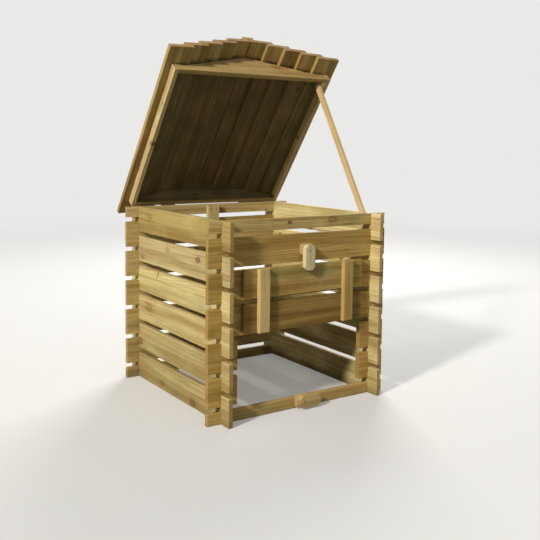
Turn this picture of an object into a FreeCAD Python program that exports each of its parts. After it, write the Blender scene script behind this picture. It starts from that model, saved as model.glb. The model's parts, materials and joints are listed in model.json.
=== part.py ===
import FreeCAD, Part
import math
import os

# A slatted compost bin: notched boards stacked like a log cabin, a hinged gable lid held up
# by a prop, a lifting front hatch and two turn buttons. Millimetres, +X right, +Y back, +Z up.
# The origin is the middle of the front wall's foot, on the ground.

# Board stock
board_height = 96.0
board_thickness = 16.0
board_gap = 17.0

# Walls
side_row_count = 6
wall_span = 640.0
stub_length = 50.0
notch_play = 0.2

# Emptying opening in the front
open_row_count = 2
block_length = 112.0

# Batten inside the back wall
back_batten_width = 50.0
back_batten_drop = 5.0
back_batten_lift = 60.0

# Hatch
hatch_length = 497.0
hatch_offset = 2.5
hatch_lift = 234.0
hatch_play = 0.3
hatch_batten_width = 42.0
hatch_batten_spacing = 353.0
hatch_batten_rise = 2.0
batten_chamfer = 2.5

# Turn buttons
button_length = 88.0
button_width = 41.0
button_thickness = 18.0
button_chamfer = 11.0
button_pivot = 22.0
button_clearance = 0.7
button_play = 0.3
spacer_height = 34.0
top_button_x = 7.0
top_button_rise = 47.5
bottom_button_x = -4.0
bottom_button_height = 28.0

# Lid frame and slats
lid_play = 0.3
lid_frame_setback = 8.0
lid_rail_height = 32.0
lid_rail_thickness = 16.0
lid_side_play = 2.0
slats_per_side = 5
slat_front_overhang = 69.0
slat_rear_overhang = 63.0
ridge_gap = 4.3
slat_tilt = 3.3
slat_side_overhang = 26.0
gable_play = 0.2
cap_width = 46.0
lid_open_angle = 53.6

# Hinges
hinge_standoff = 8.5
hinge_drop = 15.5
hinge_width = 60.0
hinge_spacing = 360.0
leaf_thickness = 3.0
leaf_play = 0.3
knuckle_radius = 6.5
knuckle_play = 0.5
pin_radius = 2.5
pin_play = 0.05
wall_leaf_reach = 21.0
lid_leaf_reach = 24.0
leaf_screw_edge = 8.0

# Prop
prop_thickness = 14.0
prop_width = 20.0
prop_pivot_back = 35.0
prop_pivot_height = 11.0
prop_foot_back = 19.0
prop_foot_below = 6.0
prop_side_play = 1.0
prop_play = 0.3
prop_spacer_length = 38.0
bolt_radius = 3.0
bolt_head_radius = 7.0
bolt_head_height = 3.5
nut_radius = 5.5
nut_height = 5.0

# Screws
screw_radius = 2.0
screw_head_radius = 4.0
screw_head_height = 1.8
screw_bite = 10.0
button_screw_radius = 2.5
button_head_radius = 4.8
button_head_height = 2.4
button_recess_depth = 3.2

# Worked out from the sizes above
row_pitch = board_height + board_gap
half_height = (board_height - board_gap) / 2
wall_height = side_row_count * row_pitch - board_gap
side_x = (wall_span - board_thickness) / 2
back_y = wall_span - board_thickness
half_board = board_thickness / 2
front_face = -half_board
rear_face = back_y + half_board
rim = wall_height


def box(x0, x1, y0, y1, z0, z1):
    """A block between two corners."""
    return Part.makeBox(x1 - x0, y1 - y0, z1 - z0, FreeCAD.Vector(x0, y0, z0))


def rod(x, y, z, radius, length, direction):
    """A round bar that starts at a point and runs along a direction."""
    return Part.makeCylinder(radius, length, FreeCAD.Vector(x, y, z), FreeCAD.Vector(*direction))


def prism_along_y(points, y0, y1):
    """A closed outline of (x, z) points, drawn out from y0 to y1."""
    corners = [FreeCAD.Vector(x, y0, z) for x, z in points]
    face = Part.Face(Part.makePolygon(corners + corners[:1]))
    return face.extrude(FreeCAD.Vector(0, y1 - y0, 0))


def save(name, solids):
    """Write one node, as one solid or as a group of separate ones."""
    shape = solids[0] if len(solids) == 1 else Part.makeCompound(solids)
    shape.exportStep(os.path.join("parts", name + ".step"))


# Rows of the walls, as (bottom, top) heights
def side_rows():
    """The side walls' boards, from the top down."""
    tops = [wall_height - row_pitch * row for row in range(side_row_count)]
    return [(top - board_height, top) for top in tops]


def cross_rows():
    """The front and back walls' boards, half a row lower, with half boards at both ends."""
    first_top = wall_height - half_height - board_gap
    rows = [(wall_height - half_height, wall_height)]
    for row in range(side_row_count - 1):
        top = first_top - row_pitch * row
        rows.append((top - board_height, top))
    rows.append((0.0, half_height))
    return rows


def notch_range(board, other, other_on_top):
    """The heights that a board loses where another crosses it, or None if they are apart."""
    low = max(board[0], other[0])
    high = min(board[1], other[1])
    if high - low <= 0:
        return None
    middle = (low + high) / 2
    return (middle, high) if other_on_top else (low, middle)


def lies_on_top(cross, side):
    """Whether a cross board enters a side board's upper edge."""
    return cross[0] + cross[1] > side[0] + side[1]


def side_board(row, sign):
    """A board of a side wall, notched where the front and back boards cross it."""
    x = sign * side_x
    y0 = front_face - stub_length
    y1 = rear_face + stub_length
    board = box(x - half_board, x + half_board, y0, y1, row[0], row[1])
    reach = half_board + notch_play
    for other in cross_rows():
        cut = notch_range(row, other, lies_on_top(other, row))
        if cut:
            for y in (0.0, back_y):
                board = board.cut(box(x - half_board, x + half_board, y - reach, y + reach, *cut))
    return board


def cross_board(row, y, x0, x1):
    """A front or back board from x0 to x1, notched where the side boards cross it."""
    board = box(x0, x1, y - half_board, y + half_board, row[0], row[1])
    reach = half_board + notch_play
    for other in side_rows():
        cut = notch_range(row, other, not lies_on_top(row, other))
        if cut:
            for x in (-side_x, side_x):
                board = board.cut(box(x - reach, x + reach, y - half_board, y + half_board, *cut))
    return board


# Screws
def screw(x, y, z, length, direction, radius=screw_radius, head=screw_head_radius,
          head_height=screw_head_height):
    """A screw whose head's seat is at the point, with the shank running along a direction."""
    back = [-step for step in direction]
    shank = rod(x, y, z, radius, length, direction)
    return shank.fuse(rod(x, y, z, head, head_height, back)).removeSplitter()


# Turn buttons
hatch_back = front_face - hatch_play
hatch_front = hatch_back - board_thickness
button_back = hatch_front - button_clearance
button_front = button_back - button_thickness
spacer_front = button_back + button_play


def button_outline():
    """The long octagon of a turn button about its pivot, with its arm along +X."""
    left = -button_pivot
    right = button_length - button_pivot
    half = button_width / 2
    cut = button_chamfer
    return [(left + cut, -half), (right - cut, -half), (right, -half + cut), (right, half - cut),
            (right - cut, half), (left + cut, half), (left, half - cut), (left, -half + cut)]


def button(x, z, turn):
    """A turn button at its pivot, its arm turned from +X by an angle."""
    arm = prism_along_y(button_outline(), button_front, button_back)
    hole = rod(0, button_front, 0, button_screw_radius + pin_play, button_thickness, (0, 1, 0))
    recess = rod(0, button_front, 0, button_head_radius + button_play, button_recess_depth, (0, 1, 0))
    arm = arm.cut(hole).cut(recess)
    arm.rotate(FreeCAD.Vector(0, 0, 0), FreeCAD.Vector(0, -1, 0), turn)
    arm.translate(FreeCAD.Vector(x, 0, z))
    return arm


def button_spacer(x, z, turn):
    """The block between a wall board and a button, flush with the button's short end."""
    start = -button_pivot
    block = box(start, start + spacer_height, spacer_front, front_face,
                -button_width / 2, button_width / 2)
    block.rotate(FreeCAD.Vector(0, 0, 0), FreeCAD.Vector(0, -1, 0), turn)
    block.translate(FreeCAD.Vector(x, 0, z))
    return block.cut(button_screw(x, z))


def button_screw(x, z):
    """The screw that a button turns on."""
    seat = button_front + button_recess_depth - button_play
    length = front_face - seat + board_thickness - board_thickness / 4
    return screw(x, seat, z, length, (0, 1, 0), button_screw_radius, button_head_radius,
                 button_head_height)


hatch_bottom = cross_rows()[-2][0] + hatch_lift
hatch_height = open_row_count * row_pitch - board_gap
hatch_top = hatch_bottom + hatch_height
button_places = {
    "top_button": (top_button_x, hatch_top + top_button_rise, -90.0),
    "bottom_button": (bottom_button_x, bottom_button_height, 0.0),
}

# Lid, drawn closed and then turned open about the hinge axis
hinge_y = rear_face + hinge_standoff
hinge_z = rim - hinge_drop
frame_bottom = rim + lid_play
frame_front = half_board + lid_frame_setback
rail_inner_x = wall_span / 2 + lid_side_play
rail_outer_x = rail_inner_x + lid_rail_thickness
tilt = math.radians(slat_tilt)
slat_edge_x = rail_outer_x + slat_side_overhang
slat_pitch = (slat_edge_x - board_height * math.cos(tilt) - ridge_gap / 2) / (slats_per_side - 1)
slat_rise = board_thickness / math.cos(tilt) + slat_pitch * math.tan(tilt)
slat_edge_z = frame_bottom + lid_rail_height - slat_side_overhang * math.tan(tilt)
slat_y0 = frame_front - slat_front_overhang
slat_y1 = rear_face + slat_rear_overhang
gable_slope = slat_rise / slat_pitch


def slat_corner(step):
    """The outer lower corner of a left slat, counted from the eaves."""
    return (-slat_edge_x + slat_pitch * step, slat_edge_z + slat_rise * step)


def roof_height(x):
    """The straight slope that the slats' inner edges rest on, at a distance left of the ridge."""
    seat_x = -slat_edge_x + board_height * math.cos(tilt)
    seat_z = slat_edge_z + board_height * math.sin(tilt)
    return seat_z + (x - seat_x) * gable_slope - gable_play


def mirrored(shape):
    """A copy on the other side of the middle plane."""
    return shape.mirror(FreeCAD.Vector(0, 0, 0), FreeCAD.Vector(1, 0, 0))


def left_slat(step):
    """One lapped lid board, tilted, with its inner edge under the next one up."""
    x, z = slat_corner(step)
    along = (math.cos(tilt), math.sin(tilt))
    up = (-math.sin(tilt), math.cos(tilt))
    near = (x, z)
    far = (x + board_height * along[0], z + board_height * along[1])
    far_top = (far[0] + board_thickness * up[0], far[1] + board_thickness * up[1])
    near_top = (x + board_thickness * up[0], z + board_thickness * up[1])
    return prism_along_y([near, far, far_top, near_top], slat_y0, slat_y1)


def gable(y0, y1):
    """A lid end: a flat foot, then two slopes up to the ridge."""
    shoulder = frame_bottom + lid_rail_height
    knee_x = (shoulder - roof_height(0.0)) / gable_slope
    half = [(-rail_inner_x, frame_bottom), (-rail_inner_x, shoulder), (knee_x, shoulder)]
    other = [(-x, z) for x, z in reversed(half)]
    return prism_along_y(half + [(0.0, roof_height(0.0))] + other, y0, y1)


def turned_open(shape):
    """A copy of a closed lid piece in the propped pose."""
    shape = shape.copy()
    shape.rotate(FreeCAD.Vector(0, hinge_y, hinge_z), FreeCAD.Vector(-1, 0, 0), lid_open_angle)
    return shape


def opened_point(y, z):
    """Where a point of the closed lid lies when the lid is propped."""
    angle = math.radians(lid_open_angle)
    back = y - hinge_y
    up = z - hinge_z
    return (hinge_y + back * math.cos(angle) + up * math.sin(angle),
            hinge_z - back * math.sin(angle) + up * math.cos(angle))


def slat_screw(step, y):
    """A screw through a left slat's hidden inner edge into a gable."""
    x, z = slat_corner(step)
    inward = board_height - (board_height - slat_pitch) / 2
    lean = (-math.sin(tilt), math.cos(tilt))
    top = board_thickness - screw_head_height
    px = x + inward * math.cos(tilt) + top * lean[0]
    pz = z + inward * math.sin(tilt) + top * lean[1]
    return screw(px, y, pz, board_thickness + screw_bite, (-lean[0], 0, -lean[1]))


# Hinges
knuckle_length = hinge_width / 3


def knuckle(x0, x1):
    """A stretch of a hinge's barrel."""
    return rod(x0, hinge_y, hinge_z, knuckle_radius, x1 - x0, (1, 0, 0))


def pin_hole(x, extra):
    """The bore along one hinge's axis."""
    return rod(x - hinge_width, hinge_y, hinge_z, pin_radius + extra, 2 * hinge_width, (1, 0, 0))


def wall_leaf(x):
    """A hinge leaf on the back wall, with the two outer knuckles."""
    end = hinge_width / 2
    inner = knuckle_length / 2
    leaf = box(x - end, x + end, rear_face, rear_face + leaf_thickness,
               hinge_z - wall_leaf_reach, hinge_z)
    for side in (-1, 1):
        near, far = sorted((x + side * (inner + leaf_play), x + side * end))
        leaf = leaf.fuse(knuckle(near, far))
    slot = box(x - inner - leaf_play, x + inner + leaf_play, rear_face, rear_face + leaf_thickness,
               hinge_z - knuckle_radius - knuckle_play, hinge_z)
    return leaf.cut(slot).cut(pin_hole(x, 0.0)).removeSplitter()


def lid_leaf(x):
    """A hinge leaf on the rear gable, with the middle knuckle; it stands off the wall below."""
    end = hinge_width / 2
    inner = knuckle_length / 2
    top = frame_bottom + lid_leaf_reach
    leaf = box(x - end, x + end, rear_face, rear_face + leaf_thickness, hinge_z, top)
    leaf = leaf.cut(box(x - end, x + end, rear_face, rear_face + leaf_play, hinge_z, frame_bottom))
    leaf = leaf.fuse(knuckle(x - inner, x + inner))
    for side in (-1, 1):
        near, far = sorted((x + side * inner, x + side * end))
        leaf = leaf.cut(box(near, far, rear_face, rear_face + leaf_thickness,
                            hinge_z, hinge_z + knuckle_radius + knuckle_play))
    return leaf.cut(pin_hole(x, pin_play)).removeSplitter()


hinge_places = (-hinge_spacing / 2, hinge_spacing / 2)
leaf_screw_x = (hinge_width - knuckle_length) / 2
wall_screw_z = hinge_z - wall_leaf_reach + leaf_screw_edge
lid_screw_z = frame_bottom + lid_leaf_reach - leaf_screw_edge


def leaf_screws(z):
    """The screws of both hinges at one height, from behind."""
    seat = rear_face + leaf_thickness
    length = leaf_thickness + screw_bite
    return [screw(x + side * leaf_screw_x, seat, z, length, (0, -1, 0))
            for x in hinge_places for side in (-1, 1)]


# Prop, drawn folded along the right lid rail and then swung down to its foot
prop_x1 = wall_span / 2 - board_thickness - prop_side_play
prop_x0 = prop_x1 - prop_thickness
pivot_y = frame_front + prop_pivot_back
pivot_z = frame_bottom + prop_pivot_height
foot_y = half_board + prop_foot_back
foot_z = rim - prop_foot_below
open_pivot = opened_point(pivot_y, pivot_z)
prop_reach = math.hypot(open_pivot[0] - foot_y, open_pivot[1] - foot_z)
prop_lean = math.degrees(math.atan2(open_pivot[1] - foot_z, open_pivot[0] - foot_y))
prop_fold = 180.0 - prop_lean - lid_open_angle


def prop():
    """The stick with a round top end, swung down inside the right wall."""
    half = prop_width / 2
    stick = box(prop_x0, prop_x1, pivot_y, pivot_y + prop_reach, pivot_z - half, pivot_z + half)
    stick = stick.fuse(rod(prop_x0, pivot_y, pivot_z, half, prop_thickness, (1, 0, 0)))
    stick = stick.cut(rod(prop_x0, pivot_y, pivot_z, bolt_radius + pin_play, prop_thickness, (1, 0, 0)))
    stick = stick.removeSplitter()
    stick.rotate(FreeCAD.Vector(0, pivot_y, pivot_z), FreeCAD.Vector(-1, 0, 0), prop_fold)
    return turned_open(stick)


def prop_bolt():
    """The bolt through the rail, its spacer and the stick."""
    length = rail_outer_x - prop_x0 + prop_play + nut_height
    bolt = rod(rail_outer_x, pivot_y, pivot_z, bolt_radius, length, (-1, 0, 0))
    head = rod(rail_outer_x, pivot_y, pivot_z, bolt_head_radius, bolt_head_height, (1, 0, 0))
    edge = [line for line in head.Edges if line.BoundBox.XMin > rail_outer_x + bolt_head_height / 2]
    head = head.makeFillet(bolt_head_height / 2, edge[:1])
    return bolt.fuse(head).removeSplitter()


def prop_nut():
    """The hexagon nut on the bolt's inner end."""
    corners = []
    for step in range(7):
        angle = math.radians(60 * step)
        corners.append(FreeCAD.Vector(prop_x0 - prop_play, pivot_y + nut_radius * math.cos(angle),
                                      pivot_z + nut_radius * math.sin(angle)))
    nut = Part.Face(Part.makePolygon(corners)).extrude(FreeCAD.Vector(-nut_height, 0, 0))
    return nut.cut(prop_bolt())


def prop_spacer():
    """The block that holds the stick clear of the wall below."""
    half = prop_spacer_length / 2
    top = frame_bottom + lid_rail_height
    block = box(prop_x1 + prop_play, rail_inner_x, pivot_y - half, pivot_y + half / 2,
                frame_bottom, top)
    return block.cut(prop_bolt())


# Building every node
def build_walls():
    """The four walls, the back batten and their screws."""
    end = wall_span / 2 + stub_length
    for name, sign in (("left", -1), ("right", 1)):
        for number, row in enumerate(side_rows(), 1):
            save(f"{name}_board_{number}", [side_board(row, sign)])
    rows = cross_rows()
    screws = wall_screws()
    for number, row in enumerate(rows):
        name = row_name(number, len(rows))
        back = cross_board(row, back_y, -end, end)
        save(f"back_{name}", [cut_by(back, screws)])
        if number not in open_rows():
            front = cross_board(row, 0.0, -end, end)
            save(f"front_{name}", [cut_by(front, button_screws())])
    inner = end - block_length
    for name, x0, x1 in (("left", -end, -inner), ("right", inner, end)):
        blocks = [cross_board(rows[number], 0.0, x0, x1) for number in open_rows()]
        save(f"front_{name}_blocks", blocks)
    save("back_batten", [cut_by(back_batten(), screws)])
    save("wall_screws", screws)


def open_rows():
    """The numbers of the front rows that the emptying opening cuts short."""
    last = side_row_count - 1
    return range(last - open_row_count + 1, last + 1)


def row_name(number, count):
    """A cross row's name: two half boards and the numbered full ones between them."""
    if number == 0:
        return "top_rail"
    return "bottom_rail" if number == count - 1 else f"board_{number}"


def back_batten():
    """The upright that ties the back boards together on the inside."""
    half = back_batten_width / 2
    inner = back_y - half_board
    return box(-half, half, inner - board_thickness, inner, back_batten_lift, rim - back_batten_drop)


def wall_screws():
    """Screws of the back batten, two to a full board and one to the top rail, and of the hinges."""
    rows = cross_rows()
    seat = back_y - half_board - board_thickness + screw_head_height
    length = board_thickness + screw_bite
    screws = leaf_screws(wall_screw_z)
    for row in rows[:-1]:
        middle = (row[0] + row[1]) / 2
        if row[0] > back_batten_lift:
            screws.append(screw(-back_batten_width / 4, seat, middle, length, (0, 1, 0)))
            screws.append(screw(back_batten_width / 4, seat, middle, length, (0, 1, 0)))
    return screws


def cut_by(shape, tools):
    """Cut the tools that reach a shape out of it."""
    for tool in tools:
        if tool.BoundBox.intersect(shape.BoundBox):
            shape = shape.cut(tool)
    return shape


def button_screws():
    """Both pivot screws."""
    return [button_screw(x, z) for x, z, _ in button_places.values()]


def build_buttons():
    """The two turn buttons, their spacers and screws."""
    for name, (x, z, turn) in button_places.items():
        save(name, [button(x, z, turn)])
    save("button_spacers", [button_spacer(*place) for place in button_places.values()])
    save("button_screws", button_screws())


def hatch_batten(x):
    """An upright on the hatch's face, its front edges eased."""
    half = hatch_batten_width / 2
    block = box(x - half, x + half, hatch_front - board_thickness, hatch_front,
                hatch_bottom - hatch_batten_rise, hatch_top + hatch_batten_rise)
    face = hatch_front - board_thickness
    edges = [edge for edge in block.Edges if abs(edge.BoundBox.YMax - face) < 1e-6]
    return block.makeChamfer(batten_chamfer, edges)


def build_hatch():
    """The raised front hatch: two boards joined by two battens, screwed from behind."""
    battens = {"left": hatch_offset - hatch_batten_spacing / 2,
               "right": hatch_offset + hatch_batten_spacing / 2}
    boards = {"lower": hatch_bottom, "upper": hatch_bottom + row_pitch}
    seat = hatch_back - screw_head_height
    screws = [screw(x, seat, z + board_height * share, board_thickness + screw_bite, (0, -1, 0))
              for x in battens.values() for z in boards.values() for share in (0.25, 0.75)]
    x0 = hatch_offset - hatch_length / 2
    for name, z in boards.items():
        board = box(x0, x0 + hatch_length, hatch_front, hatch_back, z, z + board_height)
        save(f"hatch_{name}_board", [cut_by(board, screws)])
    for name, x in battens.items():
        save(f"hatch_{name}_batten", [cut_by(hatch_batten(x), screws)])
    save("hatch_screws", screws)


def lid_pieces():
    """The lid's wooden pieces in their closed place, by name."""
    thick = board_thickness
    pieces = {
        "front_gable": gable(frame_front, frame_front + thick),
        "rear_gable": gable(rear_face - thick, rear_face),
        "left_lid_rail": box(-rail_outer_x, -rail_inner_x, frame_front, rear_face,
                             frame_bottom, frame_bottom + lid_rail_height),
    }
    pieces["right_lid_rail"] = mirrored(pieces["left_lid_rail"])
    for step in range(slats_per_side):
        pieces[f"left_slat_{step + 1}"] = left_slat(step)
        pieces[f"right_slat_{step + 1}"] = mirrored(left_slat(step))
    x, z = slat_corner(slats_per_side - 1)
    cap_z = z + board_height * math.sin(tilt) + board_thickness * math.cos(tilt)
    pieces["ridge_cap"] = box(-cap_width / 2, cap_width / 2, slat_y0, slat_y1,
                              cap_z, cap_z + board_thickness)
    return pieces


def build_lid():
    """The lid with its screws, hinges and prop, all in the propped pose."""
    middle = board_thickness / 2
    screws = []
    for step in range(slats_per_side):
        for y in (frame_front + middle, rear_face - middle):
            left = slat_screw(step, y)
            screws += [left, mirrored(left)]
    screws += leaf_screws(lid_screw_z)
    pieces = lid_pieces()
    pieces["right_lid_rail"] = pieces["right_lid_rail"].cut(prop_bolt())
    for name, piece in pieces.items():
        save(name, [turned_open(cut_by(piece, screws))])
    save("lid_screws", [turned_open(one) for one in screws])
    save("lid_hinge_leaves", [turned_open(cut_by(lid_leaf(x), screws)) for x in hinge_places])
    save("wall_hinge_leaves", [cut_by(wall_leaf(x), wall_screws()) for x in hinge_places])
    save("hinge_pins", [rod(x - hinge_width / 2, hinge_y, hinge_z, pin_radius, hinge_width, (1, 0, 0))
                        for x in hinge_places])
    save("prop", [prop()])
    save("prop_spacer", [turned_open(prop_spacer())])
    save("prop_bolt", [turned_open(prop_bolt())])
    save("prop_nut", [turned_open(prop_nut())])


os.makedirs("parts", exist_ok=True)
build_walls()
build_hatch()
build_buttons()
build_lid()
print(f"wall height {wall_height:.1f}, hatch bottom {hatch_bottom:.1f}, hatch top {hatch_top:.1f}")
print(f"hinge axis y {hinge_y:.2f} z {hinge_z:.2f}, prop pivot {open_pivot[0]:.2f} {open_pivot[1]:.2f}")
print(f"prop reach {prop_reach:.1f}, fold {prop_fold:.2f}")
print(f"closed height {lid_pieces()['ridge_cap'].BoundBox.ZMax:.1f}")
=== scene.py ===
import bpy
import bmesh
import json
import math
import random
import zlib
from mathutils import Matrix, Vector, noise


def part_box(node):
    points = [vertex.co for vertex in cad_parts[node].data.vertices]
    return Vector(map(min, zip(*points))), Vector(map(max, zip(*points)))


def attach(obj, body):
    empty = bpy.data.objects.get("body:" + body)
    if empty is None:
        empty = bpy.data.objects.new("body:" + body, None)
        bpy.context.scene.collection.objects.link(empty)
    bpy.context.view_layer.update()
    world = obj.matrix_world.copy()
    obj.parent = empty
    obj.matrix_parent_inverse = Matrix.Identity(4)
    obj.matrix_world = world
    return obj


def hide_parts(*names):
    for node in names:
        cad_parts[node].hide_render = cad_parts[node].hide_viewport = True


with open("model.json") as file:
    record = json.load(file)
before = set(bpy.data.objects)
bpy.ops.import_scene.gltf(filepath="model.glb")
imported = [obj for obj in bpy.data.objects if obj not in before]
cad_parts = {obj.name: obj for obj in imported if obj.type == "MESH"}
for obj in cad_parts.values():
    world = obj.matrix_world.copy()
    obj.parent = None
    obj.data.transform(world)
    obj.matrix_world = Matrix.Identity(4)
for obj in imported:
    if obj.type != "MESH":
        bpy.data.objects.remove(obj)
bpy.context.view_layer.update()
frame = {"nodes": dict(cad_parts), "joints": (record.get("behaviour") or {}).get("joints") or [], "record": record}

# Camera: where the photograph was taken from, in metres and degrees
CAMERA_PLACE = (-1.5818, -2.1404, 0.9105)
CAMERA_YAW = 34.106
CAMERA_PITCH = 4.612
CAMERA_ROLL = 0.703
CAMERA_LENS = 52.3
CAMERA_SHIFT = -0.1185
CAMERA_REACH = 200

# Boards, in metres: eased edges, spacing of the cuts that let them bend, ripple, dents, warp
ARRIS = 0.0013
SLICE_ALONG = 0.014
SLICE_ACROSS = SLICE_ALONG * 1.15
RIPPLE = 0.00022
RIPPLE_SINK = 0.6
RIPPLE_SCALE = 28
DENT = 0.0035
DENT_SCALE = 31
DENT_LIMIT = 0.22
BOW = 0.0011
BOW_UPWARD = 0.8
DICE_SHIFT = 5

# Steel: width of the eased edges in metres, the least corners of a round head, and the
# screws' cross in radii of the head
STEEL_ARRIS = 0.0004
HEAD_CORNERS = 8
CROSS_HEART = 0.15
CROSS_REACH = 0.60
CROSS_HALF_WIDTH = 0.11
CROSS_DEPTH = 0.34
CROSS_TAPER = 0.55

# Meshes: join distance in metres, then angles in degrees
WELD = 1e-6
FLAT = 0.5
WOOD_EDGE, STEEL_EDGE = 25, 40
WOOD_SMOOTH, STEEL_SMOOTH = 38, 32

# A board's end: the least share of the grain's direction in a face's normal
END_FACING = 0.8

# Bump depth of the surfaces, in metres
WOOD_RELIEF = 0.00042
STEEL_RELIEF = 0.00012


# Camera
def aim_camera():
    """The camera at the photograph's viewing angle."""
    yaw, pitch, roll = (math.radians(a) for a in (CAMERA_YAW, CAMERA_PITCH, CAMERA_ROLL))
    forward = Vector((math.sin(yaw) * math.cos(pitch), math.cos(yaw) * math.cos(pitch),
                      -math.sin(pitch)))
    level = Vector((math.cos(yaw), -math.sin(yaw), 0))
    up = level.cross(forward)
    right = math.cos(roll) * level + math.sin(roll) * up
    top = -math.sin(roll) * level + math.cos(roll) * up
    data = bpy.data.cameras.new("camera")
    data.lens = CAMERA_LENS
    data.shift_y = CAMERA_SHIFT
    data.clip_end = CAMERA_REACH
    camera = bpy.data.objects.new("camera", data)
    turn = Matrix((right, top, -forward)).transposed().to_4x4()
    camera.matrix_world = Matrix.Translation(CAMERA_PLACE) @ turn
    bpy.context.scene.collection.objects.link(camera)
    bpy.context.scene.camera = camera


# Colours
def linear(red, green, blue):
    """A colour given in 0 to 255 screen values, as the shader wants it."""
    return tuple(pow(c / 255, 2.2) for c in (red, green, blue))


def shaded(color, factor):
    """A lighter or darker form of a colour."""
    return tuple(c * factor for c in color)


OLIVE = linear(138, 136, 84)
LICHEN = linear(172, 160, 108)
RUST = linear(166, 112, 62)
RESIN = linear(132, 66, 34)
CRACK = linear(66, 46, 26)
KNOT_PALE = linear(134, 100, 62)
KNOT_DARK = linear(66, 46, 26)
# Dark olive: damp dirt at the foot, darkening inside the walls, and painted shade under the lid
DAMP_AND_SHADE = linear(53, 54, 35)
SAWN_END = linear(164, 122, 70)
ZINC_DARK = linear(136, 128, 110)
ZINC_PALE = linear(168, 161, 144)
ZINC_DULL = linear(112, 98, 78)

# Pale and deep colour of each wood, its share of green tint and the contrast of its grain
WOODS = {
    "wall_boards": (linear(218, 198, 144), linear(170, 138, 80), 0.36, 1.15),
    "hatch_boards": (linear(206, 180, 124), linear(154, 120, 66), 0.55, 1.35),
    "lid_boards": (linear(196, 170, 112), linear(144, 115, 64), 0.34, 1.35),
    "lid_frame": (linear(214, 190, 134), linear(170, 136, 80), 0.22, 1.1),
    "pale_trim": (linear(224, 202, 150), linear(186, 156, 100), 0.12, 0.9),
}

# How a board's colour differs from its material's, as red, green and blue shares
TONES = {
    "left_board_1": (0.69, 0.66, 0.48),
    "left_board_2": (0.90, 0.92, 0.96),
    "left_board_3": (0.97, 1.02, 1.04),
    "left_board_4": (0.92, 0.93, 0.88),
    "left_board_5": (0.76, 0.77, 0.67),
    "left_board_6": (0.80, 0.81, 0.68),
    "right_board": (1.02, 1.05, 1.00),
    "right_board_1": (1.22, 1.30, 1.36),
    "front_": (0.79, 0.68, 0.42),
    "front_top_rail": (0.88, 0.84, 0.66),
    "front_bottom_rail": (0.92, 0.82, 0.64),
    "front_gable": (0.78, 0.73, 0.60),
    "rear_gable": (0.76, 0.74, 0.66),
    "back_": (0.92, 0.88, 0.78),
    "hatch_upper_board": (0.87, 0.82, 0.64),
    "hatch_lower_board": (0.58, 0.50, 0.33),
    "hatch_left_batten": (0.89, 0.84, 0.68),
    "hatch_right_batten": (0.68, 0.60, 0.34),
    "top_button": (0.97, 1.08, 1.20),
    "bottom_button": (0.86, 0.76, 0.58),
    "left_lid_rail": (1.15, 1.25, 1.55),
    "left_slat": (0.84, 0.83, 0.72),
    "right_slat": (0.84, 0.83, 0.72),
    "prop": (1.08, 1.03, 1.03),
}
PLAIN_TONE = (1, 1, 1)
TONE_SPREAD = (0.93, 1.06)
BLUE_SPREAD = (0.92, 1.06)

# Knots seen in the photograph: metres along and across from a board's middle, radius, darkness
KNOTS = {
    "left_board_1": [(0.212, 0.013, 0.010, 0.18)],
    "left_board_2": [(-0.162, 0.017, 0.0085, 0.80), (0.063, 0.023, 0.0090, 0.34),
                     (0.274, -0.026, 0.0090, 0.28)],
    "left_board_3": [(-0.245, -0.020, 0.0040, 0.50)],
    "left_board_4": [(0.218, 0.012, 0.0140, 0.30)],
    "left_board_5": [(0.293, -0.020, 0.0110, 0.62), (0.300, 0.022, 0.0080, 0.28)],
    "left_board_6": [(0.102, -0.024, 0.0080, 0.40), (-0.130, -0.030, 0.0105, 0.58)],
    "front_top_rail": [(-0.056, 0.004, 0.0042, 1.0), (0.128, 0.007, 0.0100, 0.42)],
    "front_gable": [(0.113, 0.004, 0.0100, 0.35)],
    "left_lid_rail": [(-0.157, -0.004, 0.0030, 0.9), (0.010, -0.012, 0.0050, 1.0)],
    "right_lid_rail": [(-0.013, 0.007, 0.0040, 1.0)],
}
KNOT_FREE = ("front_board_1", "hatch_upper_board", "hatch_lower_board", "hatch_left_batten",
             "hatch_right_batten", "top_button", "bottom_button", "prop")

# Other boards' knots: chance of each, by length and at most, then places and radii
KNOT_NAMES = ("knot_a", "knot_b", "knot_c")
KNOT_CHANCE_PER_METRE = 0.6
KNOT_CHANCE_MOST = 0.38
KNOT_ALONG = 0.45
KNOT_ACROSS = 0.42
KNOT_RADII = (0.003, 0.009)
KNOT_DARKNESS = (0.3, 0.5, 0.9)

# Lichen and a resin pocket: metres along and across from a board's middle, and reach
LICHENS = {
    "left_board_2": (0.059, -0.003, 0.022),
    "hatch_upper_board": (0.092, 0.004, 0.042),
}
POCKETS = {"left_board_3": (0.142, 0.031, 0.0197)}
NO_MARK = (9.0, 9.0, 0.001)

# Grain noises: scale along, across and through the board, shift, detail, roughness
NOISES = {
    "wobble": ((70, 110, 110), (0, 0, 0), 2.0, 0.5),
    "drift": ((1.5, 7, 7), (0, 0, 0), 3.0, 0.45),
    "ring": ((2.5, 60, 60), (0, 0, 0), 2.0, 0.5),
    "fibre": ((8, 520, 520), (0, 0, 0), 3.0, 0.6),
    "streak": ((1.8, 110, 110), (0, 0, 0), 3.0, 0.62),
    "band": ((1.1, 26, 26), (0, 0, 0), 2.0, 0.5),
    "patch": ((6, 12, 12), (0, 0, 0), 4.0, 0.6),
    "green": ((3.2, 11, 11), (4, 9, 2), 5.0, 0.62),
    "rust": ((2.6, 22, 22), (1, 7, 5), 4.0, 0.6),
    "check": ((4, 240, 240), (0, 0, 0), 2.0, 0.5),
    "resin": ((9, 95, 95), (3, 1, 8), 2.0, 0.5),
    "pores": ((30, 900, 900), (0, 0, 0), 2.0, 0.5),
    "speckle": ((55, 120, 120), (0, 0, 0), 4.0, 0.7),
}
BOARD_SHIFT = (7.3, 3.1, 5.7)

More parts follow.
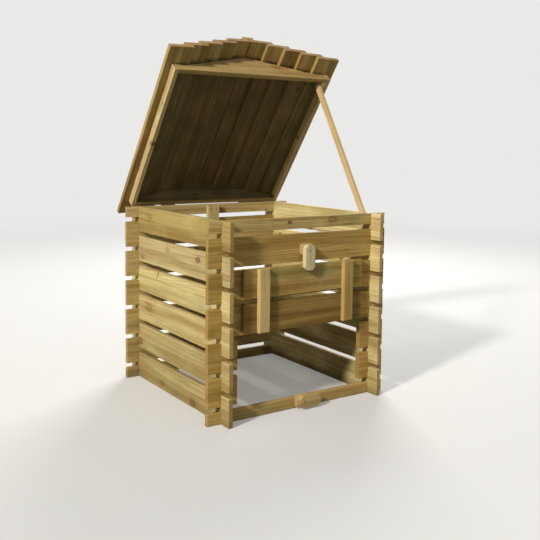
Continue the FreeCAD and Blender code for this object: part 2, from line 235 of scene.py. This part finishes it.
# Rings, in metres: their spacing, and where the pith lies beside, behind and aslant to a board
RING_SPACING = 0.0040
RING_DRIFT = (-0.02, 0.02)
PITH_SIDE = (-0.08, 0.08)
PITH_DEPTH = (0.022, 0.072)
PITH_LEAN = (-0.03, 0.03)
LATE_START = (0.25, 0.88)
LATE_END = (1.0, 0.91)

# Knots as the shader draws them, in radii from the middle
KNOT_FAR = 99.0
KNOT_STRETCH = 0.62
KNOT_WOBBLE = 0.55
KNOT_INSET = -0.27
KNOT_EDGE = (1.10, 0.88)
RIM_OUTSIDE = (1.45, 1.02)
RIM_INSIDE = (0.72, 0.98)
HALO_EDGE = (3.6, 0.7)
HALO_PUSH = 0.016
KNOT_RINGS = 4.3

# How much of the late wood's, knots', rims' and saw cuts' colour, and of the damp dirt and painted shade's colour,
# comes through
LATE_SHARE = 0.42
KNOT_SHARE = 0.85
RIM_SHARE = 0.80
SAWN_SHARE = 0.52
DAMP_AND_SHADE_SHARE = 0.76
LICHEN_STRETCH = 0.6
LICHEN_BREAKUP = -4.5

# The resin pocket: its slanted axis, width at the middle and at least, and narrowing
POCKET_DOWN = (0.507, -0.862)
POCKET_SIDE = (0.862, 0.507)
POCKET_WIDTH = 0.13
POCKET_LEAST = 0.02
POCKET_TAPER = -0.08

# Damp dirt at the foot, darkening inside the walls and painted shade under the lid: size of their specks, how a
# face lies under the lid, heights and shares
SPECK_SCALE = 14
LID_FACING = -0.4
LID_SHADE = (0.65, 0.5)
SPLASH_TOP = 0.05
SPLASH_GRIME = (0.1, 0.6)
FILL_TOP = 0.62
FILL_DARKENING = (0.2, 0.5)

# Floor, surround and lamps
FLOOR_RADIUS = 40
FLOOR_DROP = 0.0006
FLOOR_UNSEEN = (0.22, 0.21, 0.19)
FLOOR_SEEN = (0.60, 0.595, 0.58)
FLOOR_GLOW = (1.0, 1.0, 0.99, 1)
FLOOR_GLOW_STRENGTH = 0.17
FLOOR_FADE = (2.2, 7.0)
BACKDROP = (0.82, 0.82, 0.81, 1)
SKY = (0.93, 0.95, 1.0, 1)
SKY_STRENGTH = 0.25
LAMP_TARGET = (0, 0.32, 0.6)

# Each lamp's azimuth and elevation in degrees, distance and size in metres, watts and colour
LAMPS = {
    "key": (-70, 29, 14.0, 1.25, 1955, (1.0, 0.96, 0.89)),
    "fill": (20, 25, 5.0, 3.0, 12, (1.0, 0.97, 0.93)),
    "rear": (138, 38, 5.0, 2.0, 193, (1.0, 0.98, 0.95)),
}


# Shaders
class Shader:
    """A material's or the world's nodes, put together one by one."""

    def __init__(self, owner):
        owner.use_nodes = True
        self.owner = owner
        self.tree = owner.node_tree

    def new(self, kind):
        return self.tree.nodes.new("ShaderNode" + kind)

    def put(self, socket, value):
        """Link a socket to another node's output, or give it a value."""
        if isinstance(value, bpy.types.NodeSocket):
            self.tree.links.new(value, socket)
        elif value is not None:
            socket.default_value = value

    def fill(self, node, *values):
        """Fill a node's sockets in their order."""
        for socket, value in zip(node.inputs, values):
            self.put(socket, value)
        return node.outputs[0]

    def math(self, operation, a, b=None, c=None):
        node = self.new("Math")
        node.operation = operation
        return self.fill(node, a, b, c)

    def vector(self, operation, a, b):
        node = self.new("VectorMath")
        node.operation = operation
        return self.fill(node, a, b)

    def length(self, x, y):
        """The length of a flat vector that is given by its parts."""
        node = self.new("VectorMath")
        node.operation = "LENGTH"
        self.put(node.inputs[0], self.fill(self.new("CombineXYZ"), x, y, 0.0))
        return node.outputs["Value"]

    def split(self, vector):
        node = self.new("SeparateXYZ")
        self.put(node.inputs[0], vector)
        return tuple(node.outputs)

    def attribute(self, name, output="Vector"):
        node = self.new("Attribute")
        node.attribute_name = name
        return node.outputs[output]

    def noise(self, place, scale, shift, detail, roughness):
        """Noise at a place that is stretched by a scale and then shifted."""
        stretched = self.vector("MULTIPLY", place, scale)
        node = self.new("TexNoise")
        self.put(node.inputs["Vector"], self.vector("ADD", stretched, shift))
        node.inputs["Scale"].default_value = 1.0
        node.inputs["Detail"].default_value = detail
        node.inputs["Roughness"].default_value = roughness
        return node.outputs["Fac"]

    def between(self, share, limits):
        """The value that lies at a share of the way between two limits."""
        return self.math("MULTIPLY_ADD", share, limits[1] - limits[0], limits[0])

    def step(self, value, limits, to_low=0.0, to_high=1.0):
        """A smooth change from one value to another between two limits."""
        node = self.new("MapRange")
        node.interpolation_type = "SMOOTHSTEP"
        for name, item in (("Value", value), ("From Min", limits[0]), ("From Max", limits[1]),
                           ("To Min", to_low), ("To Max", to_high)):
            self.put(node.inputs[name], item)
        return node.outputs["Result"]

    def mix(self, share, a, b, blend="MIX"):
        node = self.new("Mix")
        node.data_type = "RGBA"
        node.blend_type = blend
        self.put(node.inputs["Factor"], share)
        for name, color in (("A", a), ("B", b)):
            flat = isinstance(color, tuple)
            self.put(node.inputs[name], (*color, 1) if flat else color)
        return node.outputs["Result"]

    def tint(self, base, value, limits, share, color):
        """Mix in a colour where a value passes from one limit to the other."""
        return self.mix(self.step(value, limits, 0.0, share), base, color)

    def away(self, along, across, name):
        """How far along and across a place is from a listed mark, in that mark's radii."""
        mark_along, mark_across, radius = self.split(self.attribute(name))
        run = self.math("DIVIDE", self.math("SUBTRACT", along, mark_along), radius)
        return run, self.math("DIVIDE", self.math("SUBTRACT", across, mark_across), radius)

    def oval(self, along, across, name, stretch):
        """The distance from a listed mark that is longer along the board than across."""
        run, rise = self.away(along, across, name)
        return self.length(self.math("MULTIPLY", run, stretch), rise)

    def teardrop(self, along, across, name):
        """The distance from a listed slanted slit that narrows towards its foot."""
        run, rise = self.away(along, across, name)
        down, side = (self.math("MULTIPLY_ADD", run, x, self.math("MULTIPLY", rise, y))
                      for x, y in (POCKET_DOWN, POCKET_SIDE))
        wide = self.math("MULTIPLY_ADD", down, POCKET_TAPER, POCKET_WIDTH)
        wide = self.math("MAXIMUM", wide, POCKET_LEAST)
        return self.math("MAXIMUM", self.math("ABSOLUTE", down),
                         self.math("DIVIDE", self.math("ABSOLUTE", side), wide))

    def bump(self, height, distance, strength):
        node = self.new("Bump")
        node.inputs["Distance"].default_value = distance
        node.inputs["Strength"].default_value = strength
        self.put(node.inputs["Height"], height)
        return node.outputs["Normal"]

    def seen(self):
        """1 where the camera sees a place itself or in a reflection, else 0."""
        path = self.new("LightPath").outputs
        return self.math("MAXIMUM", path["Is Camera Ray"], path["Is Glossy Ray"])

    def end(self, output, share, a, b):
        """Blend two finished shaders and hand them to the output node."""
        blended = self.fill(self.new("MixShader"), share, a, b)
        self.put(self.tree.nodes[output].inputs["Surface"], blended)


def wood(name, pale, deep, green_share, contrast):
    """Treated softwood: rings round a pith beside the board, knots, fibres and green tint."""
    s = Shader(bpy.data.materials.new(name))
    surface = s.tree.nodes["Principled BSDF"].inputs
    place = s.attribute("grain")
    board = s.attribute("board")
    along, across, through = s.split(place)
    pith_side, pith_depth, pith_lean = s.split(board)
    local = s.vector("ADD", place, s.vector("MULTIPLY", board, BOARD_SHIFT))
    noises = {kind: s.noise(local, *recipe) for kind, recipe in NOISES.items()}

    # Knots: ovals round the places that each board brings along
    knot = rim = halo = 0.0
    nearest = KNOT_FAR
    for knot_name, dark in zip(KNOT_NAMES, s.split(s.attribute("dark"))):
        reach = s.math("ADD", s.oval(along, across, knot_name, KNOT_STRETCH), KNOT_INSET)
        reach = s.math("MULTIPLY_ADD", noises["wobble"], KNOT_WOBBLE, reach)
        knot = s.math("MAXIMUM", knot, s.math("MULTIPLY", s.step(reach, KNOT_EDGE), dark))
        ring = s.math("MULTIPLY", s.step(reach, RIM_OUTSIDE), s.step(reach, RIM_INSIDE))
        rim = s.math("MAXIMUM", rim, s.math("MULTIPLY", ring, dark))
        halo = s.math("MAXIMUM", halo, s.step(reach, HALO_EDGE))
        nearest = s.math("MINIMUM", nearest, reach)
    inside = s.math("FRACT", s.math("MULTIPLY", nearest, KNOT_RINGS))

    # Rings round the pith, pushed aside by the knots
    side = s.math("SUBTRACT", across, s.between(pith_side, PITH_SIDE))
    side = s.math("ADD", side, s.between(noises["drift"], RING_DRIFT))
    lean = s.math("MULTIPLY", along, s.between(pith_lean, PITH_LEAN))
    depth = s.math("ADD", through, s.between(pith_depth, PITH_DEPTH))
    rings = s.math("MULTIPLY_ADD", halo, HALO_PUSH, s.length(side, s.math("ADD", depth, lean)))
    rings = s.math("DIVIDE", rings, RING_SPACING)
    phase = s.math("FRACT", s.math("MULTIPLY_ADD", noises["ring"], 0.8, rings))
    late = s.math("MULTIPLY", s.step(phase, LATE_START), s.step(phase, LATE_END))

    # Streaks, bands, fibres, patches and stains: noise, its limits, share of the colour, colour
    base = s.mix(s.math("MULTIPLY", late, LATE_SHARE * contrast), pale, deep)
    for kind, limits, share, color in (
            ("streak", (0.44, 0.66), 0.48 * contrast, deep),
            ("streak", (0.46, 0.28), 0.36, shaded(pale, 1.20)),
            ("band", (0.48, 0.62), 0.50 * contrast, shaded(deep, 0.84)),
            ("fibre", (0.44, 0.78), 0.20, shaded(deep, 0.5)),
            ("patch", (0.50, 0.74), 0.40, shaded(pale, 1.22)),
            ("green", (0.48, 0.68), green_share, OLIVE),
            ("rust", (0.56, 0.74), 0.36, RUST),
            ("resin", (0.74, 0.79), 0.55, RESIN)):
        base = s.tint(base, noises[kind], limits, share, color)
    slit = s.math("MULTIPLY_ADD", noises["wobble"], 0.5, s.teardrop(along, across, "pocket"))
    base = s.tint(base, slit, (1.35, 1.05), 0.85, RESIN)
    base = s.tint(base, noises["check"], (0.72, 0.76), 0.65, CRACK)

    # Knots with their rings and rust, and the paler eased edges: partly wear, partly a painted highlight on the
    # arrises
    rusty = s.step(noises["streak"], (0.40, 0.60), 0.0, 0.45)
    base = s.mix(s.math("MULTIPLY", halo, rusty), base, RUST)
    heart = s.tint(KNOT_PALE, inside, (0.25, 0.95), 0.8, KNOT_DARK)
    base = s.mix(s.math("MULTIPLY", knot, KNOT_SHARE), base, heart)
    base = s.mix(s.math("MULTIPLY", rim, RIM_SHARE), base, KNOT_DARK)
    # Paler eased edges: wear, and a painted highlight where light catches the arrises
    rubbed = s.step(noises["patch"], (0.3, 0.7), 0.1, 0.5)
    wear_and_highlight = s.math("MULTIPLY", s.attribute("wear_and_highlight", "Fac"), rubbed)
    base = s.mix(wear_and_highlight, base, shaded(pale, 1.15))

    # The board's own tone, sawn ends, lichen, and the damp dirt at the foot, darkening inside the walls and
    # painted shade under the lid
    base = s.mix(1.0, base, s.attribute("tone"), "MULTIPLY")
    sawn = s.mix(SAWN_SHARE, base, SAWN_END)
    sawn = s.tint(sawn, noises["pores"], (0.45, 0.7), 0.35, shaded(deep, 0.5))
    base = s.mix(s.attribute("end", "Fac"), base, sawn)
    blot = s.oval(along, across, "lichen", LICHEN_STRETCH)
    blot = s.math("MULTIPLY_ADD", noises["speckle"], LICHEN_BREAKUP, blot)
    base = s.tint(base, blot, (-1.3, -2.2), 0.46, LICHEN)
    # One dark olive for the painted shade under the lid, the damp dirt at the foot and the darkening inside the
    # walls
    base = s.mix(s.math("MULTIPLY", s.attribute("grime_and_shade", "Fac"), DAMP_AND_SHADE_SHARE), base, DAMP_AND_SHADE)
    s.put(surface["Base Color"], base)

    # Knots are smoother than the fibres round them
    rough = s.math("MULTIPLY_ADD", noises["fibre"], 0.18, 0.68)
    s.put(surface["Roughness"], s.math("MULTIPLY_ADD", knot, -0.14, rough))
    surface["Specular IOR Level"].default_value = 0.25

    # Relief: late wood and knots stand up, fibres are furry, checks and knot rims are sunk
    height = s.math("MULTIPLY", noises["fibre"], 0.6)
    for part, share in ((late, 0.30), (noises["streak"], 0.8), (knot, 0.5), (rim, -0.8)):
        height = s.math("MULTIPLY_ADD", part, share, height)
    height = s.math("SUBTRACT", height, s.step(noises["check"], (0.69, 0.76), 0.0, 2.6))
    s.put(surface["Normal"], s.bump(height, WOOD_RELIEF, 0.9))
    return s.owner


def zinc():
    """Zinc-plated steel: mottled grey with dull spots."""
    s = Shader(bpy.data.materials.new("zinc_steel"))
    surface = s.tree.nodes["Principled BSDF"].inputs
    place = s.attribute("grain")
    mottle = s.noise(place, (420, 420, 420), (0, 0, 0), 3.0, 0.6)
    dull = s.noise(place, (70, 70, 70), (0, 0, 0), 2.0, 0.5)
    base = s.mix(s.step(mottle, (0.3, 0.7)), ZINC_DARK, ZINC_PALE)
    s.put(surface["Base Color"], s.tint(base, dull, (0.52, 0.72), 0.5, ZINC_DULL))
    surface["Metallic"].default_value = 1.0
    s.put(surface["Roughness"], s.math("MULTIPLY_ADD", mottle, 0.25, 0.26))
    s.put(surface["Normal"], s.bump(mottle, STEEL_RELIEF, 0.5))
    return s.owner


# What the frame says of the pieces
materials = {name: wood(name, *look) for name, look in WOODS.items()}
materials["zinc_steel"] = zinc()
slots = {row["node"]: row["material_slot"] for row in frame["record"]["subparts"]}
bodies = {node: body for body, nodes in frame["record"]["behaviour"]["bodies"].items()
          for node in nodes}
hinge = next(joint for joint in frame["joints"] if joint["name"] == "lid_hinge")
lid_axis = Vector(hinge["pos_m"])
lid_shut = Matrix.Rotation(math.radians(-hinge["range_deg"][0]), 3, "X")
lid_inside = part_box("right_lid_rail")[0].x
lid_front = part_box("front_top_rail")[1].y - lid_axis.y
bin_middle = (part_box("front_bottom_rail")[0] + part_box("back_top_rail")[1]) / 2

ACROSS, DEEP, UP = Vector((1, 0, 0)), Vector((0, 1, 0)), Vector((0, 0, 1))


# Grain
def lengthwise(node):
    """The direction of a wooden node's grain, in the frame, with the lid shut."""
    if node.startswith(("left_board", "right_board")) or bodies[node] == "lid":
        return ACROSS if "gable" in node or node == "prop_spacer" else DEEP
    if "batten" in node or node == "top_button":
        return UP
    return stick_direction(node) if node == "prop" else ACROSS


def stick_direction(node):
    """The direction of a straight stick in the plane across the lid's hinge."""
    points = [v.co for v in frame["nodes"][node].data.vertices]
    middle = sum(points, Vector()) / len(points)
    yy = sum((p.y - middle.y) ** 2 for p in points)
    zz = sum((p.z - middle.z) ** 2 for p in points)
    yz = sum((p.y - middle.y) * (p.z - middle.z) for p in points)
    angle = math.atan2(2 * yz, yy - zz) / 2
    return Vector((0, math.cos(angle), math.sin(angle)))


def to_grain(node):
    """The turn that brings a node's points to (along, across, through) axes."""
    along = lengthwise(node)
    turn = lid_shut if bodies[node] == "lid" else Matrix.Identity(3)
    points = [turn @ v.co for v in frame["nodes"][node].data.vertices]
    if node == "prop":
        sides = [along.cross(ACROSS), ACROSS]
    else:
        axes = sorted((ACROSS, DEEP, UP), key=lambda axis: abs(axis.dot(along)))
        sides = [(axis - along * axis.dot(along)).normalized() for axis in axes[:2]]
    spans = [max(p.dot(a) for p in points) - min(p.dot(a) for p in points) for a in sides]
    if spans[0] < spans[1]:
        sides.reverse()
    return Matrix((along, sides[0], sides[1])) @ turn


# Meshes
def welded(node):
    """A node's mesh with its points joined and its flat faces whole."""
    mesh = bmesh.new()
    mesh.from_mesh(frame["nodes"][node].data)
    bmesh.ops.remove_doubles(mesh, verts=mesh.verts, dist=WELD)
    bmesh.ops.dissolve_limit(mesh, angle_limit=math.radians(FLAT), verts=mesh.verts,
                             edges=mesh.edges)
    return mesh


def eased(mesh, width, least):
    """Round off the outer edges and return the new faces."""
    sharp = [e for e in mesh.edges
             if e.is_manifold and e.is_convex and e.calc_face_angle() > math.radians(least)]
    made = bmesh.ops.bevel(mesh, geom=sharp, offset=width, offset_type="OFFSET", segments=2,
                           profile=0.55, affect="EDGES", clamp_overlap=True)
    return made["faces"]


def islands(mesh):
    """The separate solids of a mesh, as lists of vertices."""
    left = set(mesh.verts)
    found = []
    while left:
        queue = [left.pop()]
        group = []
        while queue:
            vertex = queue.pop()
            group.append(vertex)
            for edge in vertex.link_edges:
                other = edge.other_vert(vertex)
                if other in left:
                    left.discard(other)
                    queue.append(other)
        found.append(sorted(group, key=lambda v: v.index))
    return sorted(found, key=lambda group: (round(group[0].co.x, 4), round(group[0].co.z, 4)))


def sliced(mesh, turn):
    """Cut a mesh along and across its grain at even steps, so that it can bend and ripple."""
    for axis, spacing in enumerate((SLICE_ALONG, SLICE_ACROSS)):
        normal = Vector(turn[axis])
        heights = [v.co.dot(normal) for v in mesh.verts]
        low, high = min(heights), max(heights)
        count = int((high - low) / spacing)
        for number in range(1, count):
            at = low + (high - low) * number / count
            bmesh.ops.bisect_plane(mesh, geom=mesh.verts[:] + mesh.edges[:] + mesh.faces[:],
                                   dist=WELD, plane_co=normal * at, plane_no=normal)


def bend(node, dice):
    """How a wall board has warped between its notches, as a function of place."""
    if not node.startswith(("left_board", "right_board", "back_board")):
        return lambda place: Vector()
    if node.startswith("back"):
        start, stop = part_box("left_board_1")[1].x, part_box("right_board_1")[0].x
        axis, out = 0, DEEP
    else:
        start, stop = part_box("front_top_rail")[1].y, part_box("back_top_rail")[0].y
        axis, out = 1, ACROSS
    sway, lift = dice.uniform(-1, 1), dice.uniform(-1, 1)
    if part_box(node)[0].z < BOW:
        lift = abs(lift)
    warp = (out * sway + UP * BOW_UPWARD * lift) * BOW

    def move(place):
        share = min(1.0, max(0.0, (place[axis] - start) / (stop - start)))
        return warp * math.sin(math.pi * share) ** 2
    return move


def grime_and_shade_at(node, point, normal):
    """Damp dirt at the ground, darkening inside the walls, and painted shade under the lid."""
    speck = 0.5 + 0.5 * noise.noise(point * SPECK_SCALE)
    lid_shade, on_foot, on_wall = (least + spread * speck
                                for least, spread in (LID_SHADE, SPLASH_GRIME, FILL_DARKENING))
    # Painted shade on the slats' undersides and the rear gable's inner face, between the lid's rails
    if bodies[node] == "lid":
        shut = lid_shut @ (point - lid_axis)
        facing = lid_shut @ normal
        under = facing.z if "slat" in node else facing.y if node == "rear_gable" else 0.0
        covered = abs(shut.x) < lid_inside and lid_front < shut.y
        return lid_shade if under < LID_FACING and covered else 0.0
    if bodies[node] != "bin":
        return 0.0
    # Darker on the walls' inward faces, more so lower down; damp dirt at the foot
    inward = max(0.0, (bin_middle - point).normalized().dot(normal))
    foot = max(0.0, 1 - point.z / SPLASH_TOP)
    return min(1.0, foot * on_foot + inward * max(0.0, 1 - point.z / FILL_TOP) * on_wall)


# Marks
def named_for(table, node, default):
    """A table's entry for a node, by the longest start of its name that the table has."""
    starts = [key for key in table if node.startswith(key)]
    return table[max(starts, key=len)] if starts else default


def knots_of(node, dice, length, width):
    """A board's three knots: those that the photograph shows, or else what falls by chance."""
    found = [] if node.startswith(KNOT_FREE) else named_for(KNOTS, node, None)
    if found is None:
        found = []
        for _ in KNOT_NAMES:
            if dice.random() < min(KNOT_CHANCE_MOST, length * KNOT_CHANCE_PER_METRE):
                found.append((dice.uniform(-KNOT_ALONG, KNOT_ALONG) * length,
                              dice.uniform(-KNOT_ACROSS, KNOT_ACROSS) * width,
                              dice.uniform(*KNOT_RADII), dice.choice(KNOT_DARKNESS)))
    return found + [(*NO_MARK, 0.0)] * (len(KNOT_NAMES) - len(found))


# Pieces
def wooden(node):
    """A node's board with eased edges, slight warp and ripple, and its grain laid along it."""
    mesh = welded(node)
    turn = to_grain(node)
    # The eased edges, marked for the paler wear and painted highlight
    wear_and_highlight = mesh.faces.layers.float.new("wear_and_highlight")
    for face in eased(mesh, ARRIS, WOOD_EDGE):
        face[wear_and_highlight] = 1.0
    sliced(mesh, turn)
    mesh.verts.index_update()
    mesh.normal_update()
    names = ("grain", "board", "tone", "dark", "lichen", "pocket") + KNOT_NAMES
    layers = {name: mesh.verts.layers.float_vector.new(name) for name in names}
    grime_and_shade = mesh.verts.layers.float.new("grime_and_shade")
    dice = random.Random(zlib.crc32(node.encode()) + DICE_SHIFT)
    tone = Vector(named_for(TONES, node, PLAIN_TONE))
    lichen = Vector(named_for(LICHENS, node, NO_MARK))
    pocket = Vector(named_for(POCKETS, node, NO_MARK))
    for group in islands(mesh):
        marks = {"board": Vector([dice.random() for _ in range(3)]),
                 "lichen": lichen, "pocket": pocket}
        places = [turn @ v.co for v in group]
        low, high = (Vector([pick(p[axis] for p in places) for axis in range(3)])
                     for pick in (min, max))
        knots = knots_of(node, dice, *(high - low)[:2])
        marks.update((name, Vector(knot[:3])) for name, knot in zip(KNOT_NAMES, knots))
        marks["dark"] = Vector([knot[3] for knot in knots])
        marks["tone"] = tone * dice.uniform(*TONE_SPREAD)
        marks["tone"].z *= dice.uniform(*BLUE_SPREAD)
        for vertex, place in zip(group, places):
            vertex[layers["grain"]] = place - (low + high) / 2
            # Damp dirt, darkening inside the walls and painted shade under the lid
            vertex[grime_and_shade] = grime_and_shade_at(node, vertex.co, vertex.normal)
            for name, mark in marks.items():
                vertex[layers[name]] = mark
    seed = Vector([dice.uniform(0, 50) for _ in range(3)])
    warp = bend(node, dice)
    edge = {v for face in mesh.faces if face[wear_and_highlight] > 0.5 for v in face.verts}
    moves = []
    for vertex in mesh.verts:
        place = Vector(vertex[layers["grain"]])
        sunk = (RIPPLE_SINK + noise.noise(place * RIPPLE_SCALE + seed)) * RIPPLE / 2
        if vertex in edge:
            sunk += max(0.0, noise.noise(place * DENT_SCALE - seed) - DENT_LIMIT) * DENT
        moves.append(warp(vertex.co) - vertex.normal * sunk)
    for vertex, move in zip(mesh.verts, moves):
        vertex.co += move
    mesh.normal_update()
    end = mesh.faces.layers.float.new("end")
    along = Vector(turn[0])
    for face in mesh.faces:
        face[end] = 1.0 if abs(face.normal.dot(along)) > END_FACING else 0.0
    finished(node, mesh, WOOD_SMOOTH)


def recessed(mesh, dice):
    """Sink a cross into the flat top of each screw's head."""
    corners = []
    for out, wide in ((CROSS_HEART, CROSS_HEART), (CROSS_REACH, CROSS_HALF_WIDTH),
                      (CROSS_REACH, -CROSS_HALF_WIDTH)):
        corners += [(out, wide), (-wide, out), (-out, -wide), (wide, -out)]
    corners.sort(key=lambda corner: math.atan2(corner[1], corner[0]))
    count = len(corners)
    for group in islands(mesh):
        faces = {face for vertex in group for face in vertex.link_faces}
        top = max(faces, key=lambda face: face.calc_area())
        if len(top.verts) < HEAD_CORNERS:
            continue
        middle, normal = top.calc_center_median(), top.normal.copy()
        radius = (top.verts[0].co - middle).length
        side = normal.orthogonal().normalized()
        side.rotate(Matrix.Rotation(dice.uniform(0, 1.5), 3, normal))
        other = normal.cross(side)
        rim, floor = [], []
        for a, b in corners:
            flat = side * a * radius + other * b * radius
            sunk = flat * CROSS_TAPER - normal * radius * CROSS_DEPTH
            rim.append(mesh.verts.new(middle + flat))
            floor.append(mesh.verts.new(middle + sunk))
        edges = list(top.edges)
        mesh.faces.remove(top)
        edges += [mesh.edges.new((rim[n], rim[(n + 1) % count])) for n in range(count)]
        bmesh.ops.triangle_fill(mesh, use_beauty=True, use_dissolve=False, edges=edges,
                                normal=normal)
        for n in range(count):
            after = (n + 1) % count
            mesh.faces.new((rim[n], rim[after], floor[after], floor[n]))
        mesh.faces.new(floor)
    bmesh.ops.recalc_face_normals(mesh, faces=mesh.faces)


def metal(node):
    """A steel node with its edges eased; screws get their drive."""
    mesh = welded(node)
    eased(mesh, STEEL_ARRIS, STEEL_EDGE)
    if "screws" in node:
        recessed(mesh, random.Random(zlib.crc32(node.encode())))
    grain = mesh.verts.layers.float_vector.new("grain")
    for vertex in mesh.verts:
        vertex[grain] = vertex.co
    mesh.normal_update()
    finished(node, mesh, STEEL_SMOOTH)


def finished(node, mesh, smooth):
    """Turn a mesh into the piece that stands for its node."""
    data = bpy.data.meshes.new(node + "_piece")
    mesh.to_mesh(data)
    mesh.free()
    for polygon in data.polygons:
        polygon.use_smooth = True
    data.set_sharp_from_angle(angle=math.radians(smooth))
    data.materials.append(materials[slots[node]])
    piece = bpy.data.objects.new(node + "_piece", data)
    bpy.context.scene.collection.objects.link(piece)
    weights = piece.modifiers.new("weights", "WEIGHTED_NORMAL")
    weights.keep_sharp = True
    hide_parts(node)
    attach(piece, bodies[node])


# Stage and light
def lay_floor():
    """A round pale floor that fades into the background away from the object."""
    mesh = bmesh.new()
    bmesh.ops.create_circle(mesh, cap_ends=True, segments=96, radius=FLOOR_RADIUS)
    data = bpy.data.meshes.new("floor")
    mesh.to_mesh(data)
    mesh.free()
    floor = bpy.data.objects.new("floor", data)
    floor.location.z = -FLOOR_DROP
    bpy.context.scene.collection.objects.link(floor)
    s = Shader(bpy.data.materials.new("floor"))
    principled = s.tree.nodes["Principled BSDF"]
    surface = principled.inputs
    seen = s.seen()
    s.put(surface["Base Color"], s.mix(seen, FLOOR_UNSEEN, FLOOR_SEEN))
    s.put(surface["Emission Strength"], s.math("MULTIPLY", seen, FLOOR_GLOW_STRENGTH))
    surface["Emission Color"].default_value = FLOOR_GLOW
    surface["Roughness"].default_value = 0.85
    across, deep, _ = s.split(s.new("TexCoord").outputs["Object"])
    far = s.step(s.length(across, deep), FLOOR_FADE)
    glow = s.fill(s.new("Emission"), BACKDROP)
    s.end("Material Output", s.math("MULTIPLY", far, seen), principled.outputs[0], glow)
    data.materials.append(s.owner)


def light_world():
    """An even pale surround that lights the object and is seen as a pale grey."""
    s = Shader(bpy.data.worlds.new("studio"))
    background = s.tree.nodes["Background"]
    shown = s.fill(s.new("Background"), BACKDROP)
    s.end("World Output", s.seen(), s.fill(background, SKY, SKY_STRENGTH), shown)
    bpy.context.scene.world = s.owner


def lamp(name, azimuth, elevation, distance, size, power, color):
    """A square soft lamp that faces the middle of the object."""
    flat, rise = math.radians(azimuth), math.radians(elevation)
    away = Vector((math.sin(flat) * math.cos(rise), -math.cos(flat) * math.cos(rise),
                   math.sin(rise)))
    data = bpy.data.lights.new(name, "AREA")
    data.size = size
    data.energy = power
    data.color = color
    light = bpy.data.objects.new(name, data)
    light.location = Vector(LAMP_TARGET) + away * distance
    light.rotation_euler = (-away).to_track_quat("-Z", "Y").to_euler()
    bpy.context.scene.collection.objects.link(light)


for node in sorted(frame["nodes"]):
    if slots[node] == "zinc_steel":
        metal(node)
    else:
        wooden(node)
aim_camera()
lay_floor()
light_world()
for name, setting in LAMPS.items():
    lamp(name, *setting)
bpy.context.scene.view_settings.view_transform = "Standard"
